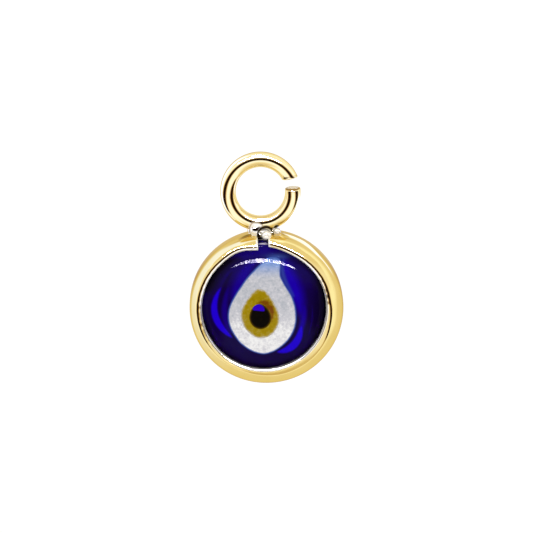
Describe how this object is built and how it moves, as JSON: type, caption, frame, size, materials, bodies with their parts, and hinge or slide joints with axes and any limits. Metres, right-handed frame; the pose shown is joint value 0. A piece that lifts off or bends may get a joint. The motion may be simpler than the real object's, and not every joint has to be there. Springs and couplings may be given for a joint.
{
  "type": "evil eye pendant",
  "caption": "Round evil eye charm: a domed cobalt glass bead with a white, amber and black eye, in a gold-coloured channel bezel with an open jump ring soldered on top.",
  "frame": {"origin": "under the middle of the whole pendant, on the surface that its back rests on", "axes": "+Z is the way the eye looks, out of the front of the bead; +Y points from the bezel to the jump ring; +X is to the right of the eye as seen from the front"},
  "size_m": [0.008, 0.0122, 0.0029],
  "materials": {
    "gold": "polished gold-filled",
    "cobalt_glass": "fire-polished, deep translucent blue",
    "white_glass": "fire-polished, opaque",
    "amber_glass": "fire-polished, opaque",
    "dark_glass": "fire-polished, opaque"
  },
  "bodies": {
    "root": {"setting": "gold", "glass_bead": "cobalt_glass", "white_drop": "white_glass", "amber_drop": "amber_glass", "pupil": "dark_glass"}
  },
  "joints": []
}
